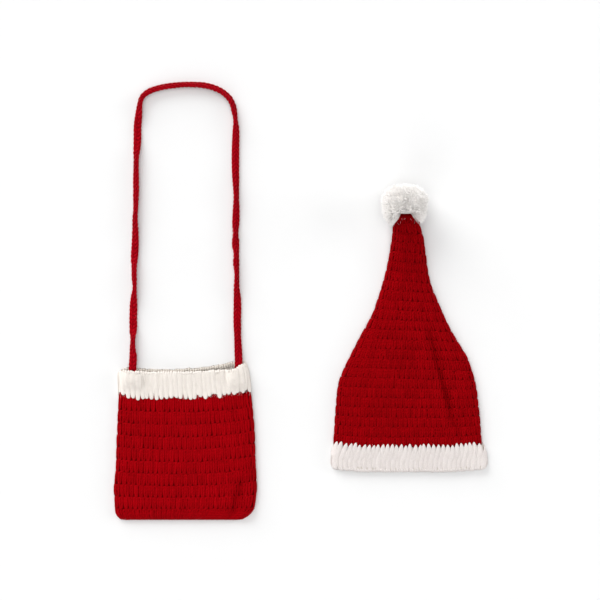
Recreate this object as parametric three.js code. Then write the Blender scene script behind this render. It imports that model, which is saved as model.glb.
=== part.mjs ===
// A crocheted Santa set for a newborn, laid flat: a closed pouch with a white band at its mouth and
// a long neck strap, and a long hat with a white brim and a pompom. Both are worked in the round, so
// each is a flattened tube: a back panel on the table and a front panel that lies on it.
//
// Units are millimetres and +Z is up. The origin lies under the middle of the set, +X runs from the
// pouch to the hat and +Y from the hems to the strap's top. Each garment has its own local frame:
// x across from its middle, h up from its lower edge.
import * as THREE from 'three';

const { clamp, degToRad, lerp, seededRandom, smoothstep } = THREE.MathUtils;

// ---- Driving dimensions ----

const WALL = 2.4; // worked yarn between two rows of stitches
const ROW_RISE = 0.8; // how far a row of tall stitches stands out of the wall
const SEAM = 0.3; // free space between pieces that touch
const RIM = 0.8; // height of a panel's edge, where front and back panel turn into each other
const EDGE_ROUND = 4.5; // how far in from its edge a panel reaches its full height
const EDGE_STEPS = [0, 30, 60, 90]; // degrees round that edge
const FRONT_FLOOR = WALL + SEAM; // where the front panel's inner side lies
const TOOTH = 3.6; // depth of the zigzag in which red and white rows lock
const TOOTH_GAP = 0.5; // along h, which leaves SEAM across the teeth's slopes

const BAND_RISE = 1.3; // the white rows' rise, as a share of the red ones'
const INSIDE_COLUMNS = 8;

// The pouch's red rows, the band above them, and how far its front panel swells.
const BAG = {
  x: -126.06,
  y: -240.6,
  redRows: 10,
  rowPitch: 13.5,
  teeth: 25,
  columns: 11,
  bandHeight: 28,
  bandColumns: 24,
  crown: 1.2,
};

const HAT = { x: 119.6, y: -187, redRows: 19, rowPitch: 13.34, teeth: 27, columns: 12, crown: 1.7 };
const BRIM_HEIGHT = 27.5;
const TIP_LIFT = { height: 11, from: 214, to: 286 }; // the tip rises on to the pompom

const STRAP = { width: 8.6, thickness: 3.2 };
// The strap's ends lie in the mouth, `depth` far in, where the front panel rises over them.
const TUCK = { depth: 12, rise: 3.9, half: 5.4, fade: 9.6 };

const POMPOM = {
  x: 114.8,
  y: 106.4,
  z: 23.2,
  core: 14,
  reachX: 27.2,
  reachY: 24.8,
  reachZ: 22.4,
  squareness: 2.8,
  bend: 4,
  seed: 41,
};
const LOCK_CLEAR = 2.5; // locks lie at least this far beside the hat's tip
const LOCK_FLOOR = 0.9; // and their ends this far above the table

const RED = '#93060c';
const HAT_RED = '#87050a';
const STRAP_RED = '#a30b17';
const CREAM = '#f0e9e0';

// ---- Outlines: the left and right edge at each height ----

const BAG_SIDES = [
  { h: 0, left: -65.5, right: 57.5 },
  { h: 1.3, left: -70.4, right: 62 },
  { h: 4, left: -74.4, right: 67.2 },
  { h: 7.5, left: -76.8, right: 72.2 },
  { h: 12, left: -77.6, right: 75.6 },
  { h: 20, left: -77.8, right: 77.2 },
  { h: 34, left: -78.6, right: 78.7 },
  { h: 62, left: -76.6, right: 77.6 },
  { h: 96, left: -75.4, right: 76.4 },
  { h: 118, left: -74.3, right: 74.8 },
  { h: 136, left: -73.2, right: 72.6 },
  { h: 150, left: -72.8, right: 71 },
  { h: 163, left: -72.2, right: 68.8 },
  { h: 174, left: -68, right: 65.6 },
];

// Heights of the pouch's mouth: the back stands a little above the front, most at the right corner.
const BAG_MOUTH = [
  { across: 0, front: 160.5, back: 160.5 },
  { across: 0.06, front: 163, back: 166.2 },
  { across: 0.15, front: 162.8, back: 166 },
  { across: 0.35, front: 162.6, back: 164.6 },
  { across: 0.6, front: 162.9, back: 166.4 },
  { across: 0.8, front: 164.4, back: 170.2 },
  { across: 0.9, front: 165.4, back: 172.8 },
  { across: 0.97, front: 171.6, back: 173.6 },
  { across: 1, front: 171, back: 171 },
];

const HAT_SIDES = [
  { h: 0, left: -78.6, right: 79.4 },
  { h: 1.6, left: -82.4, right: 83.2 },
  { h: 5.5, left: -84.6, right: 84.9 },
  { h: 14, left: -84.9, right: 84.9 },
  { h: 23, left: -84, right: 84.2 },
  { h: 32, left: -83.2, right: 80.6 },
  { h: 62, left: -81, right: 77.8 },
  { h: 84, left: -79.6, right: 75.4 },
  { h: 98, left: -77.2, right: 73 },
  { h: 110, left: -72.8, right: 69.6 },
  { h: 124, left: -65.8, right: 64.6 },
  { h: 148, left: -53.6, right: 50.4 },
  { h: 162, left: -45.8, right: 42.6 },
  { h: 176, left: -38.8, right: 36.4 },
  { h: 190, left: -34.2, right: 30.4 },
  { h: 204, left: -29.6, right: 24.8 },
  { h: 220, left: -25.4, right: 21 },
  { h: 240, left: -21.6, right: 18.2 },
  { h: 256, left: -19.2, right: 15.6 },
  { h: 268, left: -18.2, right: 11.8 },
  { h: 275, left: -15.8, right: 8.6 },
  { h: 279.6, left: -12.4, right: 4.2 },
  { h: 281.2, left: -8.4, right: -0.8 },
];

// Soft troughs in the front panels, each along a slanted line: `lean` is its run in x per h.
const BAG_FOLDS = [{ x: 65, h: 20, reach: 26, width: 6, lean: 0.12, depth: 1 }];
const HAT_FOLDS = [
  { x: 36, h: 104, reach: 52, width: 7, lean: -0.26, depth: 1.5 },
  { x: 52, h: 126, reach: 16, width: 5, lean: -0.1, depth: 0.6 },
  { x: 3, h: 108, reach: 30, width: 9, lean: -0.1, depth: 0.5 },
];

// The strap's middle line and how far it is rolled about it, from one end in the pouch's mouth to
// the other. Each stretch of it starts on the point that the one before it ends on.
const STRAP_LINE = [
  { stretch: 'left', x: -183.8, y: -86, roll: 0 },
  { stretch: 'left', x: -183.9, y: -74, roll: 0 },
  { stretch: 'left', x: -183.2, y: -62, roll: 12 },
  { stretch: 'left', x: -183.8, y: -52, roll: 52 },
  { stretch: 'left', x: -183.5, y: -42, roll: 66 },
  { stretch: 'left', x: -183.3, y: -31, roll: 14 },
  { stretch: 'left', x: -183.3, y: -20, roll: -12 },
  { stretch: 'left', x: -183, y: -6, roll: 8 },
  { stretch: 'left', x: -182.4, y: 5, roll: 48 },
  { stretch: 'left', x: -181.6, y: 14, roll: 80 },
  { stretch: 'left', x: -182, y: 26, roll: 60 },
  { stretch: 'left', x: -182.1, y: 38, roll: 58 },
  { stretch: 'left', x: -181.8, y: 49, roll: 18 },
  { stretch: 'left', x: -181, y: 64, roll: 24 },
  { stretch: 'left', x: -180.8, y: 78, roll: 44 },
  { stretch: 'left', x: -181.1, y: 90, roll: 58 },
  { stretch: 'left', x: -180.4, y: 101, roll: 66 },
  { stretch: 'left', x: -180, y: 118, roll: 50 },
  { stretch: 'left', x: -180, y: 138, roll: 52 },
  { stretch: 'left', x: -179.8, y: 156, roll: 60 },
  { stretch: 'left', x: -178.8, y: 174, roll: 10 },
  { stretch: 'left', x: -178.6, y: 192, roll: 0 },
  { stretch: 'left', x: -176.9, y: 206, roll: 30 },
  { stretch: 'top', x: -175.6, y: 217, roll: 62 },
  { stretch: 'top', x: -172.6, y: 224.8, roll: 58 },
  { stretch: 'top', x: -164, y: 230.8, roll: 52 },
  { stretch: 'top', x: -151.4, y: 234.6, roll: 50 },
  { stretch: 'top', x: -137, y: 236.8, roll: 52 },
  { stretch: 'top', x: -121, y: 237.6, roll: 56 },
  { stretch: 'top', x: -105, y: 236.6, roll: 50 },
  { stretch: 'top', x: -92, y: 233, roll: 48 },
  { stretch: 'top', x: -82, y: 227, roll: 52 },
  { stretch: 'top', x: -75.4, y: 219, roll: 56 },
  { stretch: 'right', x: -72.6, y: 210, roll: 58 },
  { stretch: 'right', x: -70.8, y: 198, roll: 78 },
  { stretch: 'right', x: -70.4, y: 186, roll: 38 },
  { stretch: 'right', x: -70.8, y: 170, roll: 22 },
  { stretch: 'right', x: -71, y: 152, roll: 18 },
  { stretch: 'right', x: -70.6, y: 132, roll: 40 },
  { stretch: 'right', x: -70, y: 114, roll: 64 },
  { stretch: 'right', x: -70.2, y: 98, roll: 36 },
  { stretch: 'right', x: -70.6, y: 86, roll: 28 },
  { stretch: 'right', x: -70.8, y: 74, roll: 62 },
  { stretch: 'right', x: -70.8, y: 62, roll: 24 },
  { stretch: 'right', x: -70, y: 52, roll: 66 },
  { stretch: 'right', x: -70.2, y: 42, roll: 50 },
  { stretch: 'right', x: -69.4, y: 30, roll: 74 },
  { stretch: 'right', x: -69.6, y: 14, roll: 58 },
  { stretch: 'right', x: -68.8, y: -2, roll: 16 },
  { stretch: 'right', x: -69, y: -20, roll: 10 },
  { stretch: 'right', x: -68.6, y: -38, roll: 34 },
  { stretch: 'right', x: -68, y: -52, roll: 20 },
  { stretch: 'right', x: -67.4, y: -64, roll: 0 },
  { stretch: 'right', x: -67.4, y: -72, roll: 0 },
  { stretch: 'right', x: -67.6, y: -82, roll: 0 },
];

// ---- Reading the tables ----

/** A column of a table at `at` in its key column: a cubic through its rows, held past the ends. */
function valueAt(table, column, at, key = 'h') {
  const last = table.length - 1;
  if (at <= table[0][key]) return table[0][column];
  if (at >= table[last][key]) return table[last][column];
  const i = table.findIndex((row) => row[key] > at) - 1;
  const slope = (a, b) => (table[b][column] - table[a][column]) / (table[b][key] - table[a][key]);
  const span = table[i + 1][key] - table[i][key];
  const t = (at - table[i][key]) / span;
  const start = slope(Math.max(i - 1, 0), i + 1) * span;
  const end = slope(i, Math.min(i + 2, last)) * span;
  const from = table[i][column];
  const to = table[i + 1][column];
  const eased = t * t * (3 - 2 * t);
  return from + (to - from) * eased + start * t * (1 - t) ** 2 - end * t * t * (1 - t);
}

/** How full a rounded edge stands at `distance` from it: 0 on the edge, 1 from `round` inwards. */
function fullness(distance, round = EDGE_ROUND) {
  const left = 1 - clamp(distance / round, 0, 1);
  return Math.sqrt(1 - left * left);
}

/** A fold's depth at a place: a bell across its line, fading out along it. */
function foldDepth(folds, x, h) {
  return folds.reduce((sum, fold) => {
    const along = (h - fold.h) / fold.reach;
    const across = (x - fold.x - fold.lean * (h - fold.h)) / fold.width;
    return sum + fold.depth * Math.exp(-across * across - along * along * along * along);
  }, 0);
}

// ---- Solids ----

/** Triangles that join two lines of points, taken in step by their share of each line. */
function joinLines(lower, upper) {
  const triangles = [];
  let i = 0;
  let j = 0;
  while (i < lower.length - 1 || j < upper.length - 1) {
    const nextLower = i < lower.length - 1 ? lower[i + 1].share : Infinity;
    const nextUpper = j < upper.length - 1 ? upper[j + 1].share : Infinity;
    if (nextLower <= nextUpper) {
      triangles.push([lower[i], lower[i + 1], upper[j]]);
      i += 1;
    } else {
      triangles.push([lower[i], upper[j + 1], upper[j]]);
      j += 1;
    }
  }
  return triangles;
}

const turned = (triangles) => triangles.map(([a, b, c]) => [a, c, b]);

/** A closed slab between an upper and a lower sheet, both given as rows of points. */
function slab(upper, lower) {
  const sheet = (rows) => rows.slice(1).flatMap((row, k) => joinLines(rows[k], row));
  const side = (rows, pick) => {
    const low = pick(rows[0]).y;
    const high = pick(rows[rows.length - 1]).y;
    return rows.map((row) => ({ ...pick(row), share: (pick(row).y - low) / (high - low) }));
  };
  const first = (row) => row[0];
  const last = (row) => row[row.length - 1];
  const triangles = [
    ...sheet(upper),
    ...turned(sheet(lower)),
    ...joinLines(lower[0], upper[0]),
    ...turned(joinLines(last(lower), last(upper))),
    ...turned(joinLines(side(lower, first), side(upper, first))),
    ...joinLines(side(lower, last), side(upper, last)),
  ];
  return geometryFrom(triangles);
}

function geometryFrom(triangles) {
  const positions = new Float32Array(triangles.flat().flatMap((p) => [p.x, p.y, p.z]));
  const geometry = new THREE.BufferGeometry();
  geometry.setAttribute('position', new THREE.BufferAttribute(positions, 3));
  geometry.computeVertexNormals();
  return geometry;
}

/**
 * Points across a row from its left to its right edge, crowded where the edges round over. Each
 * has its share of the row and how full the rounded edge stands there.
 */
function acrossRow(left, right, columns) {
  const width = right - left;
  const round = Math.min(EDGE_ROUND, 0.3 * width);
  const edge = EDGE_STEPS.map((angle) => ({
    in: round * (1 - Math.cos(degToRad(angle))),
    full: Math.sin(degToRad(angle)),
  }));
  const inner = Array.from({ length: columns - 1 }, (_, k) => ({
    in: lerp(round, width - round, (k + 1) / columns),
    full: 1,
  }));
  const far = [...edge].reverse().map((p) => ({ in: width - p.in, full: p.full }));
  return [...edge, ...inner, ...far].map((p) => ({ x: left + p.in, share: p.in / width, full: p.full }));
}

/** Evenly spaced points across a plain inner side, which has no rounded edge. */
function acrossInside(left, right, columns) {
  return Array.from({ length: columns + 1 }, (_, k) => {
    const share = k / columns;
    return { x: lerp(left, right, share), share, full: 1 };
  });
}

/** The points of a zigzag row: `teeth` peaks and the dips between them, from edge to edge. */
function acrossTeeth(left, right, teeth) {
  const round = Math.min(EDGE_ROUND, 0.3 * (right - left));
  return Array.from({ length: 2 * teeth + 1 }, (_, k) => {
    const share = k / (2 * teeth);
    const x = lerp(left, right, share);
    const full = fullness(Math.min(x - left, right - x), round);
    return { x, share, full, tooth: TOOTH * ((k % 2) - 0.5) };
  });
}

/** A straight row beside a zigzag one, with a point under each of its peaks or dips. */
function besideTeeth(left, right, teeth, sign) {
  const last = 2 * teeth;
  return acrossTeeth(left, right, teeth)
    .filter((p, k) => Math.sign(p.tooth) === sign || k === 0 || k === last)
    .map((p) => ({ ...p, tooth: 0 }));
}

// ---- Rows and panels of a garment ----

/** Sides of the cloth: a point's z there, from its place, how full its edge is, and its rise. */
function clothFaces(crown) {
  const floor = (p, h) => FRONT_FLOOR + crown(p, h);
  return {
    frontOuter: (p, h, full, rise) => floor(p, h) + RIM + (WALL - RIM + rise) * full,
    frontInner: (p, h) => floor(p, h),
    backOuter: (p, h, full) => (WALL - RIM) * (1 - full),
    backInner: () => WALL,
  };
}

/** The points of one row, spread as its kind asks. */
function rowPoints(garment, kind, left, right) {
  if (kind === 'teeth') return acrossTeeth(left, right, garment.teeth);
  if (kind === 'underPeaks') return besideTeeth(left, right, garment.teeth, 1);
  if (kind === 'underDips') return besideTeeth(left, right, garment.teeth, -1);
  if (kind === 'inside') return acrossInside(left, right, INSIDE_COLUMNS);
  return acrossRow(left, right, garment.columns);
}

/** One row of a face of the cloth, in the set's frame. */
function clothRow(garment, face, row) {
  const { kind = 'across', rise = 0, edge = 1, gap = 0 } = row;
  const left = valueAt(garment.sides, 'left', garment.heightAt(0, row));
  const right = valueAt(garment.sides, 'right', garment.heightAt(1, row));
  return rowPoints(garment, kind, left, right).map((p) => {
    const h = garment.heightAt(p.share, row) + (p.tooth ?? 0) + gap;
    const z = garment.faces[face](p, h, p.full * edge, rise) + garment.liftAt(h);
    return { share: p.share, x: garment.x + p.x, y: garment.y + h, z };
  });
}

/** The front panel over its rows, or the back panel, which has straight joints and no teeth. */
function panel(garment, side, outerRows, innerRows) {
  const rows = (face, list) => list.map((row) => clothRow(garment, face, row));
  const outer = rows(`${side}Outer`, outerRows);
  const inner = rows(`${side}Inner`, innerRows);
  return side === 'front' ? slab(outer, inner) : slab(inner, outer);
}

/** Rise of a raised row at `phase` of its height: flat-topped, down to nothing at its joints. */
const rowRise = (phase) => ROW_RISE * (1 - Math.abs(2 * phase - 1) ** 4);

/** The raised rows of a stack that starts at `from`: its joints and the two shoulders of each. */
function raisedRows(count, pitch, from = 0) {
  return Array.from({ length: 3 * count }, (_, k) => {
    const phase = [0, 0.25, 0.75][k % 3];
    return { h: from + (Math.floor(k / 3) + phase) * pitch, rise: rowRise(phase) };
  });
}

/** Plain rows at every joint of that stack, for inner sides and for undersides. */
function plainRows(count, pitch, from = 0, kind = 'across') {
  return Array.from({ length: count - 1 }, (_, k) => ({ h: from + (k + 1) * pitch, kind }));
}

/** Distances from a round end at which its rows lie, and how full each stands. */
const END_ROWS = EDGE_STEPS.map((angle) => ({
  away: EDGE_ROUND * (1 - Math.cos(degToRad(angle))),
  edge: Math.sin(degToRad(angle)),
}));
const LOW_END = END_ROWS.map(({ away, edge }) => ({ h: away, edge }));

// ---- The pouch ----

const bagRed = BAG.redRows * BAG.rowPitch;
const strapEnds = [STRAP_LINE[0], STRAP_LINE[STRAP_LINE.length - 1]];

/** The pouch's rows sag in the middle and turn up on the right; its lowest one lies straight. */
function bagRowLine(share, h) {
  const sag = -12 * share * (1 - share) + 4 * share ** 4;
  return sag * smoothstep(h, 0, 60) * (1 - 0.45 * smoothstep(h, 90, 160));
}

/** How far the front of the mouth rises to pass over the strap's ends. */
function overStrap(x, h) {
  const along = smoothstep(h, 141, 152);
  return strapEnds.reduce((sum, end) => {
    const away = Math.abs(x + BAG.x - end.x);
    return sum + TUCK.rise * along * (1 - smoothstep(away, TUCK.half, TUCK.fade));
  }, 0);
}

/** How far the front panel lies above the back one: a low swell with soft troughs in it. */
function bagCrown(p, h) {
  const swell = BAG.crown * (1 - (2 * p.share - 1) ** 4) * smoothstep(h, 0, 40);
  return Math.max(0, swell - foldDepth(BAG_FOLDS, p.x, h)) + overStrap(p.x, h);
}

const bagBody = {
  ...BAG,
  sides: BAG_SIDES,
  faces: clothFaces(bagCrown),
  heightAt: (share, row) => row.h + bagRowLine(share, row.h),
  liftAt: () => 0,
};

/** The pouch's red panel, from its closed end to the joint with the band. */
function bagPanel(side) {
  if (side === 'back') {
    const rows = [...LOW_END, ...plainRows(BAG.redRows, BAG.rowPitch), { h: bagRed }];
    const inner = [{ h: 0, kind: 'inside' }, ...plainRows(BAG.redRows, BAG.rowPitch, 0, 'inside')];
    return panel(bagBody, side, rows, [...inner, { h: bagRed, kind: 'inside' }]);
  }
  const raised = raisedRows(BAG.redRows, BAG.rowPitch).filter((row) => row.h > EDGE_ROUND + 1);
  const last = { ...raised.pop(), kind: 'underDips' };
  const teeth = { h: bagRed, kind: 'teeth' };
  const low = LOW_END.map((row) => ({ ...row, rise: rowRise(row.h / BAG.rowPitch) }));
  const inner = [{ h: 0, kind: 'inside' }, ...plainRows(BAG.redRows, BAG.rowPitch, 0, 'inside')];
  return panel(bagBody, side, [...low, ...raised, last, teeth], [...inner, { ...last, rise: 0 }, teeth]);
}

/** The band's rows lie between the red one and the mouth: `v` is 0 at the joint, 1 at the edge. */
function bagBand(side) {
  const joint = side === 'front' ? { v: 0, kind: 'teeth', gap: TOOTH_GAP } : { v: 0, gap: SEAM };
  const next = { v: 0.13, kind: side === 'front' ? 'underPeaks' : 'across' };
  const mouth = [...END_ROWS].reverse().map(({ away, edge }) => ({ v: 1 - away / BAG.bandHeight, edge }));
  const middle = [0.375, 0.5, 0.625].map((v) => ({ v }));
  const raise = (row) => ({ ...row, rise: BAND_RISE * rowRise((2 * row.v) % 1) });
  const band = {
    ...bagBody,
    columns: BAG.bandColumns,
    heightAt: (share, { v }) =>
      lerp(bagRed + bagRowLine(share, bagRed), valueAt(BAG_MOUTH, side, share, 'across'), v),
  };
  const rows = [joint, next, ...middle, ...mouth];
  const inner = [joint, next, middle[1], mouth[0], mouth[mouth.length - 1]];
  return panel(band, side, rows.map(raise), inner);
}

// ---- The hat ----

const hatTip = HAT_SIDES[HAT_SIDES.length - 1].h;

/** The hat's rows slant down a little to the right, but for the brim's and the tip's. */
function hatRowLine(share, h) {
  return (2 - 4 * share) * smoothstep(h, 30, 110) * (1 - smoothstep(h, 245, 272));
}

function hatCrown(p, h) {
  const swell = HAT.crown * (1 - (2 * p.share - 1) ** 4) * smoothstep(h, 0, 50);
  return Math.max(0, swell - foldDepth(HAT_FOLDS, p.x, h)) * (1 - smoothstep(h, 230, 280));
}

const hat = {
  ...HAT,
  sides: HAT_SIDES,
  faces: clothFaces(hatCrown),
  heightAt: (share, row) => row.h + hatRowLine(share, row.h),
  liftAt: (h) => TIP_LIFT.height * smoothstep(h, TIP_LIFT.from, TIP_LIFT.to),
};

/** The hat's red panel, from the joint with the brim to its closed tip. */
function hatPanel(side) {
  const below = (row) => row.h < hatTip - EDGE_ROUND - 1;
  const tip = [...END_ROWS].reverse().map(({ away, edge }) => ({ h: hatTip - away, edge }));
  const inside = plainRows(HAT.redRows, HAT.rowPitch, BRIM_HEIGHT, 'inside').filter(below);
  const innerTip = { h: hatTip, kind: 'inside' };
  if (side === 'back') {
    const joint = { h: BRIM_HEIGHT, gap: SEAM };
    const rows = [joint, ...plainRows(HAT.redRows, HAT.rowPitch, BRIM_HEIGHT).filter(below), ...tip];
    return panel(hat, side, rows, [{ ...joint, kind: 'inside' }, ...inside, innerTip]);
  }
  const teeth = { h: BRIM_HEIGHT, kind: 'teeth', gap: TOOTH_GAP };
  const [, first, ...raised] = raisedRows(HAT.redRows, HAT.rowPitch, BRIM_HEIGHT).filter(below);
  const next = { ...first, kind: 'underPeaks' };
  const inner = [teeth, { ...next, rise: 0 }, ...inside, innerTip];
  return panel(hat, side, [teeth, next, ...raised, ...tip], inner);
}

/** The white brim: two raised rows, rounded over at the lower edge. */
function hatBand(side) {
  const raise = (row) => ({ ...row, rise: BAND_RISE * rowRise((2 * row.h) / BRIM_HEIGHT % 1) });
  const joint = { h: BRIM_HEIGHT, kind: side === 'front' ? 'teeth' : 'across' };
  const under = { h: BRIM_HEIGHT - TOOTH, kind: side === 'front' ? 'underDips' : 'across' };
  const middle = [0.375, 0.5, 0.625].map((v) => ({ h: v * BRIM_HEIGHT }));
  const inner = [LOW_END[0], middle[1], under, joint];
  return panel(hat, side, [...[...LOW_END, ...middle, under].map(raise), joint], inner);
}

// ---- The neck strap ----

/** The strap's section: a flat band with rounded sides, as [across, up] shares of its half size. */
const STRAP_SECTION = [
  [1, 0.35],
  [1, -0.35],
  [0.72, -1],
  [-0.72, -1],
  [-1, -0.35],
  [-1, 0.35],
  [-0.72, 1],
  [0.72, 1],
].map(([a, b]) => [(a * STRAP.width) / 2, (b * STRAP.thickness) / 2]);

const strapCurve = new THREE.CatmullRomCurve3(
  STRAP_LINE.map((p) => new THREE.Vector3(p.x, p.y, 0)),
  false,
  'centripetal',
);

/** Height of what the strap rests on: the table, or the back of the mouth near its ends. */
function strapRest({ x, y }) {
  const end = x < BAG.x ? strapEnds[0] : strapEnds[1];
  return FRONT_FLOOR * (1 - smoothstep(y - end.y, TUCK.depth + 5, TUCK.depth + 20));
}

/** The strap's section at a place on its line, counted in rows of STRAP_LINE. */
function strapRing(at) {
  const last = STRAP_LINE.length - 1;
  const i = Math.min(Math.floor(at), last - 1);
  const roll = degToRad(lerp(STRAP_LINE[i].roll, STRAP_LINE[i + 1].roll, smoothstep(at - i, 0, 1)));
  const middle = strapCurve.getPoint(at / last);
  const along = strapCurve.getTangent(at / last);
  const section = STRAP_SECTION.map(([a, b]) => ({
    side: a * Math.cos(roll) - b * Math.sin(roll),
    up: a * Math.sin(roll) + b * Math.cos(roll),
  }));
  const low = Math.min(...section.map((p) => p.up));
  return section.map(({ side, up }) => ({
    x: middle.x + side * along.y,
    y: middle.y - side * along.x,
    z: strapRest(middle) + up - low,
  }));
}

/** One stretch of the strap, closed at both ends and SEAM short of the stretch that follows. */
function strapStretch(stretch, steps) {
  const last = STRAP_LINE.length - 1;
  const from = STRAP_LINE.findIndex((p) => p.stretch === stretch);
  const next = STRAP_LINE.findLastIndex((p) => p.stretch === stretch) + 1;
  const to = Math.min(next, last);
  const end = STRAP_LINE[to];
  const before = STRAP_LINE[to - 1];
  const gap = next > last ? 0 : (1.5 * SEAM) / Math.hypot(end.x - before.x, end.y - before.y);
  const rings = Array.from({ length: steps + 1 }, (_, k) => strapRing(lerp(from, to - gap, k / steps)));
  const count = STRAP_SECTION.length;
  const triangles = [];
  for (let k = 0; k < steps; k += 1) {
    for (let i = 0; i < count; i += 1) {
      const j = (i + 1) % count;
      triangles.push([rings[k][i], rings[k][j], rings[k + 1][j]]);
      triangles.push([rings[k][i], rings[k + 1][j], rings[k + 1][i]]);
    }
  }
  for (let i = 1; i < count - 1; i += 1) {
    triangles.push([rings[0][0], rings[0][i + 1], rings[0][i]]);
    triangles.push([rings[steps][0], rings[steps][i], rings[steps][i + 1]]);
  }
  return geometryFrom(triangles);
}

// ---- The pompom ----

/** A lock's shape on its way out: its width there as a share of its root's. */
const LOCK_RINGS = [
  { along: 0.3, width: 1.04 },
  { along: 0.76, width: 0.86 },
];

/** Whether a lock's tip would lie on the hat's tip instead of beside it. */
function overHat(tip) {
  const h = tip.y - HAT.y;
  if (h > hatTip + LOCK_CLEAR) return false;
  const left = HAT.x + valueAt(HAT_SIDES, 'left', h) - LOCK_CLEAR;
  const right = HAT.x + valueAt(HAT_SIDES, 'right', h) + LOCK_CLEAR;
  return tip.x > left && tip.x < right;
}

/** How far the pompom reaches along a direction: a ball pressed a little towards a box. */
function pompomReach(out) {
  const share = (value, size) => Math.abs(value / size) ** POMPOM.squareness;
  const sum = share(out.x, POMPOM.reachX) + share(out.y, POMPOM.reachY) + share(out.z, POMPOM.reachZ);
  return sum ** (-1 / POMPOM.squareness);
}

/** A ball of yarn ends: each face of a small core grows into a three-sided lock. */
function pompomGeometry() {
  seededRandom(POMPOM.seed);
  const core = new THREE.IcosahedronGeometry(1, 2).getAttribute('position');
  const centre = new THREE.Vector3(POMPOM.x, POMPOM.y, POMPOM.z);
  const triangles = [];
  for (let f = 0; f < core.count; f += 3) {
    const corners = [0, 1, 2].map((k) => new THREE.Vector3().fromBufferAttribute(core, f + k));
    const out = corners[0].clone().add(corners[1]).add(corners[2]).normalize();
    const length = pompomReach(out) * lerp(0.88, 1, seededRandom());
    const bend = new THREE.Vector3(seededRandom() - 0.5, seededRandom() - 0.5, seededRandom() - 0.5)
      .multiplyScalar(POMPOM.bend)
      .projectOnPlane(out);
    const root = corners.map((c) => c.clone().multiplyScalar(POMPOM.core).add(centre));
    const tip = out.clone().multiplyScalar(length).add(bend).add(centre);
    tip.z = Math.max(tip.z, LOCK_FLOOR);
    if (overHat(tip)) {
      triangles.push(root);
      continue;
    }
    const middle = out.clone().multiplyScalar(POMPOM.core).add(centre);
    const rings = LOCK_RINGS.map(({ along, width }) => {
      const at = middle.clone().lerp(tip, along);
      return root.map((c) => c.clone().sub(middle).multiplyScalar(width).add(at));
    });
    let below = root;
    for (const ring of rings) {
      for (let i = 0; i < 3; i += 1) {
        const j = (i + 1) % 3;
        triangles.push([below[i], below[j], ring[j]], [below[i], ring[j], ring[i]]);
      }
      below = ring;
    }
    for (let i = 0; i < 3; i += 1) triangles.push([below[i], below[(i + 1) % 3], tip]);
  }
  return geometryFrom(triangles);
}

// ---- The set ----

function piece(name, geometry, color, roughness) {
  const material = new THREE.MeshStandardMaterial({ color, roughness, metalness: 0 });
  const mesh = new THREE.Mesh(geometry, material);
  mesh.name = name;
  return mesh;
}

const pouch = new THREE.Group();
pouch.add(
  piece('bag_front', bagPanel('front'), RED, 0.9),
  piece('bag_back', bagPanel('back'), RED, 0.9),
  piece('bag_band_front', bagBand('front'), CREAM, 0.95),
  piece('bag_band_back', bagBand('back'), CREAM, 0.95),
  piece('strap_left', strapStretch('left', 42), STRAP_RED, 0.85),
  piece('strap_top', strapStretch('top', 24), STRAP_RED, 0.85),
  piece('strap_right', strapStretch('right', 42), STRAP_RED, 0.85),
);

const santaHat = new THREE.Group();
santaHat.add(
  piece('hat_front', hatPanel('front'), HAT_RED, 0.9),
  piece('hat_back', hatPanel('back'), HAT_RED, 0.9),
  piece('hat_band_front', hatBand('front'), CREAM, 0.95),
  piece('hat_band_back', hatBand('back'), CREAM, 0.95),
  piece('pompom', pompomGeometry(), CREAM, 1),
);

const santaSet = new THREE.Group();
santaSet.add(pouch, santaHat);

export default santaSet;
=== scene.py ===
# %% [markdown]
# # A crocheted Santa set for a newborn
#
# The set lies flat: a closed pouch with a white band at its mouth and a long neck strap, and a long
# hat with a white brim and a pompom. A frame of plain solids already fixes where each piece is and
# how big it is. This lesson dresses that frame. Every stitch is made as real yarn on a thin core of
# cloth, because crochet is nothing but one long strand: its shadows come from strands that pass
# over each other, and no painted pattern gives them from all sides.

import bpy
import numpy as np
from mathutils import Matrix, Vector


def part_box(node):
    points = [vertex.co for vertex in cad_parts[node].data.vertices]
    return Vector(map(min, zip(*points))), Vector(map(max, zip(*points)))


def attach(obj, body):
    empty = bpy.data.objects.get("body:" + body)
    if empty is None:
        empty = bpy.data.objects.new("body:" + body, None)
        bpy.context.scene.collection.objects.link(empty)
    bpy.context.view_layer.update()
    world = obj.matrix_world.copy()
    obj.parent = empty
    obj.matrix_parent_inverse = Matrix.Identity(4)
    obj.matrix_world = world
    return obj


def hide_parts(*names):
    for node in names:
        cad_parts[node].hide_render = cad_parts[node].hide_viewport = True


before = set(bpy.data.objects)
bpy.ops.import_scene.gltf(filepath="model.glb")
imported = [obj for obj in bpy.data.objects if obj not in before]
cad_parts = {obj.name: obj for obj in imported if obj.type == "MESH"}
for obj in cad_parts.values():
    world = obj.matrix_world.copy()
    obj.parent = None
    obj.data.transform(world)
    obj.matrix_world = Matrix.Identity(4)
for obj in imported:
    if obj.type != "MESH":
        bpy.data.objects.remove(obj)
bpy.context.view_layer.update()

MM = 0.001  # the tables below are in millimetres, and meshes in metres

# %% [markdown]
# ## Camera
#
# The set is seen from straight above. A long lens far away keeps the pompom, which is the tallest
# piece, from leaning outwards. A camera that isn't turned already looks down with +Y up.

# %% Camera
VIEW_WIDTH = 0.660  # what the picture is wide, in metres on the table
VIEW_CENTRE = (-0.0001, 0.0011)
LENS = 100
SENSOR = 36

camera_data = bpy.data.cameras.new("camera")
camera_data.lens = LENS
camera_data.sensor_width = SENSOR
camera = bpy.data.objects.new("camera", camera_data)
camera.location = (*VIEW_CENTRE, VIEW_WIDTH * LENS / SENSOR)
bpy.context.scene.collection.objects.link(camera)
bpy.context.scene.camera = camera
print("camera height", round(camera.location.z, 3))

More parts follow.
